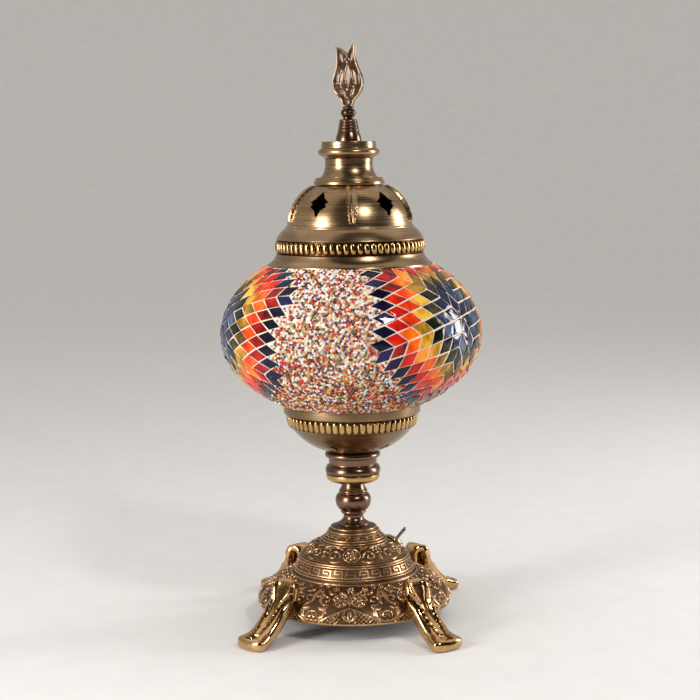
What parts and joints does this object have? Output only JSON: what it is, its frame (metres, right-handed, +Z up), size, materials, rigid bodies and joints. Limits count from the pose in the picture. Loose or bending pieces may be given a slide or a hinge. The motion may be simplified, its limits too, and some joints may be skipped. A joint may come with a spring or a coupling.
{
  "type": "mosaic glass table lamp",
  "caption": "Table lamp with a rhombus-tile and seed-bead glass globe, a lift-off pierced cap with a tulip finial, a turned stem and a cast relief base on cabriole legs.",
  "frame": {"origin": "on the floor plane under the lamp's axis, midway between the four toes", "axes": "+Z up the lamp's axis; -Y is the front, the side of the bead panel; the switch is towards +X"},
  "size_m": [0.1668, 0.1665, 0.368],
  "materials": {
    "patinated_brass": "cast relief, brown patina in the recesses, worn brighter on the rims",
    "polished_brass": "polished casting with darker hollows",
    "antique_brass": "spun and brushed antique brass, lacquered",
    "dark_bronze": "dark bronze plating, satin",
    "zinc_steel": "zinc plated",
    "black_plate": "black painted sheet",
    "black_plastic": "black moulded thermoset",
    "rubber": "black rubber",
    "ivory_plastic": "ivory moulded",
    "wire_insulation": "extruded insulation",
    "globe_glass": "blown clear glass",
    "seed_beads": "mixed seed beads in white grout",
    "deep_blue_glass": "cut stained glass",
    "slate_blue_glass": "cut stained glass",
    "olive_black_glass": "cut stained glass",
    "amber_glass": "cut stained glass with olive streaks",
    "orange_glass": "cut stained glass",
    "red_glass": "cut stained glass with dark streaks",
    "navy_glass": "cut stained glass",
    "porcelain": "glazed porcelain",
    "bulb_glass": "clear bulb glass",
    "tungsten": "fine wire"
  },
  "bodies": {
    "root": {"base_shell": "patinated_brass", "leg_front_left": "polished_brass", "leg_front_right": "polished_brass", "leg_rear_left": "polished_brass", "leg_rear_right": "polished_brass", "leg_screws": "zinc_steel", "bottom_cover": "black_plate", "bottom_washer": "zinc_steel", "bottom_nut": "zinc_steel", "cord_bush": "rubber", "switch_body": "black_plastic", "switch_nut": "polished_brass", "terminal_block": "ivory_plastic", "base_wires": "wire_insulation", "threaded_tube": "zinc_steel", "stem": "dark_bronze", "lip_ring": "polished_brass", "lower_neck": "dark_bronze", "cup_shell": "antique_brass", "cup_gadroon_ring": "polished_brass", "cup_gasket": "rubber", "cup_locknut": "zinc_steel", "glass_globe": "globe_glass", "bead_bed": "seed_beads", "tiles_ring_1": "deep_blue_glass", "tiles_ring_2": "slate_blue_glass", "tiles_ring_3": "olive_black_glass", "tiles_ring_4": "amber_glass", "tiles_ring_5": "orange_glass", "tiles_ring_6": "red_glass", "tiles_ring_7": "navy_glass", "holder_base": "black_plastic", "holder_barrel": "black_plastic", "holder_core": "porcelain", "centre_contact": "polished_brass", "holder_wires": "wire_insulation"},
    "cap": {"cap_dome": "antique_brass", "cap_gadroon_ring": "polished_brass", "cap_springs": "polished_brass", "cap_flange": "antique_brass", "cap_neck": "antique_brass", "cap_collar": "antique_brass", "finial_cone": "dark_bronze", "finial_bead": "antique_brass", "tulip_finial": "antique_brass", "finial_stud": "zinc_steel", "finial_nut": "zinc_steel"},
    "bulb": {"bulb_cap": "zinc_steel", "bulb_insulator": "black_plastic", "bulb_tip": "zinc_steel", "bulb_glass": "bulb_glass", "bulb_stem": "bulb_glass", "bulb_filament": "tungsten"},
    "toggle": {"switch_lever": "zinc_steel"}
  },
  "joints": [
    {"name": "cap_lift", "type": "slide", "parent": "root", "child": "cap", "axis": [0, 0, 1], "range_m": [0, 0.13]},
    {"name": "bulb_unscrew", "type": "slide", "parent": "root", "child": "bulb", "axis": [0, 0, 1], "range_m": [0, 0.018]},
    {"name": "switch_toggle", "type": "hinge", "parent": "root", "child": "toggle", "pos_m": [0.02426, 0.00835, 0.04597], "axis": [0.3256, -0.9455, 0], "range_deg": [0, 25]}
  ]
}
